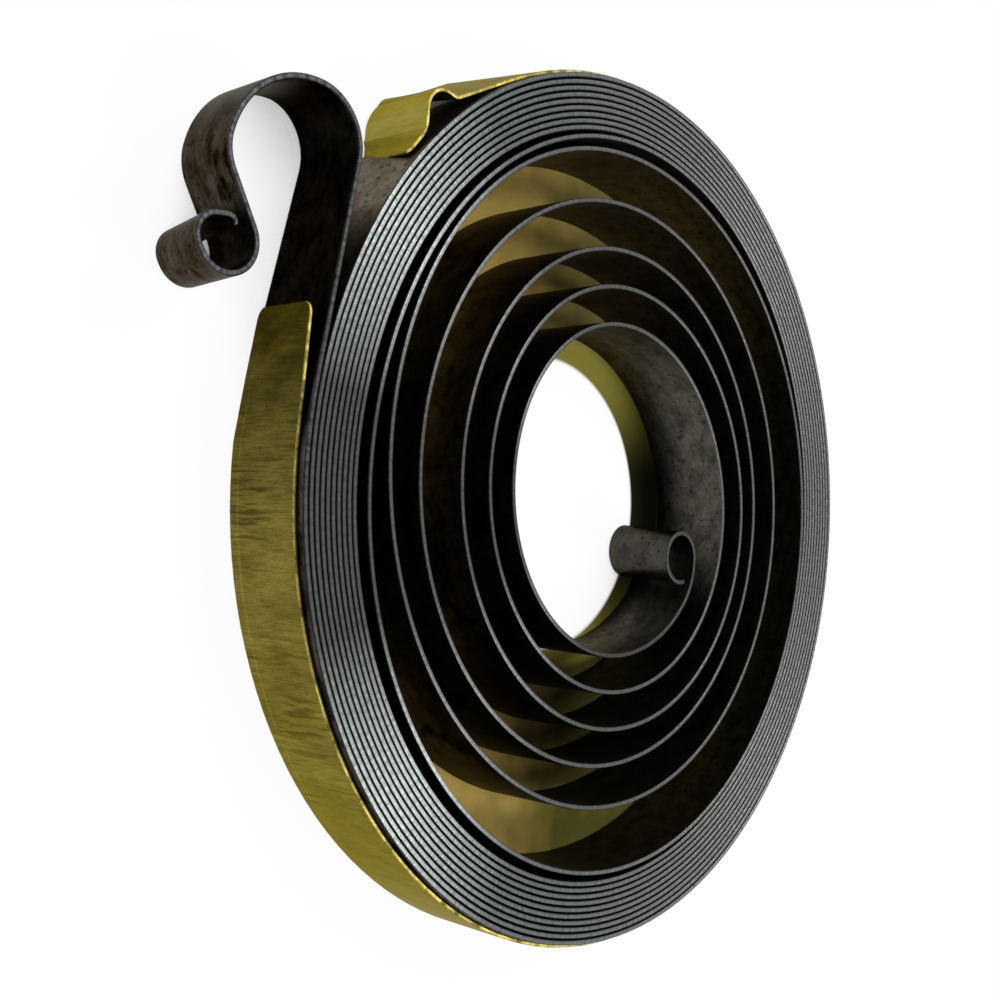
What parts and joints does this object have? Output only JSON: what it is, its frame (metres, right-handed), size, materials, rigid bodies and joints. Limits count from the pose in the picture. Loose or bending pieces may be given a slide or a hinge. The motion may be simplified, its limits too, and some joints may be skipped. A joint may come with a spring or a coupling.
{
  "type": "recoil starter spring",
  "caption": "Flat spiral recoil spring: a wound steel strip with a hooked outer end and a rolled inner eye, held by a thin sheet band.",
  "frame": {"origin": "on the coil's axis at the back edge that the spring lies on", "axes": "+Z along the coil's axis from the back edge to the front edge, the hooked outer end at -X and +Y"},
  "size_m": [0.0877, 0.0791, 0.008],
  "materials": {
    "spring_steel": "dark oiled spring steel with paler cut edges",
    "band_metal": "brushed, aged olive gold"
  },
  "bodies": {
    "root": {"spring_strip": "spring_steel", "retaining_band": "band_metal"}
  },
  "joints": []
}
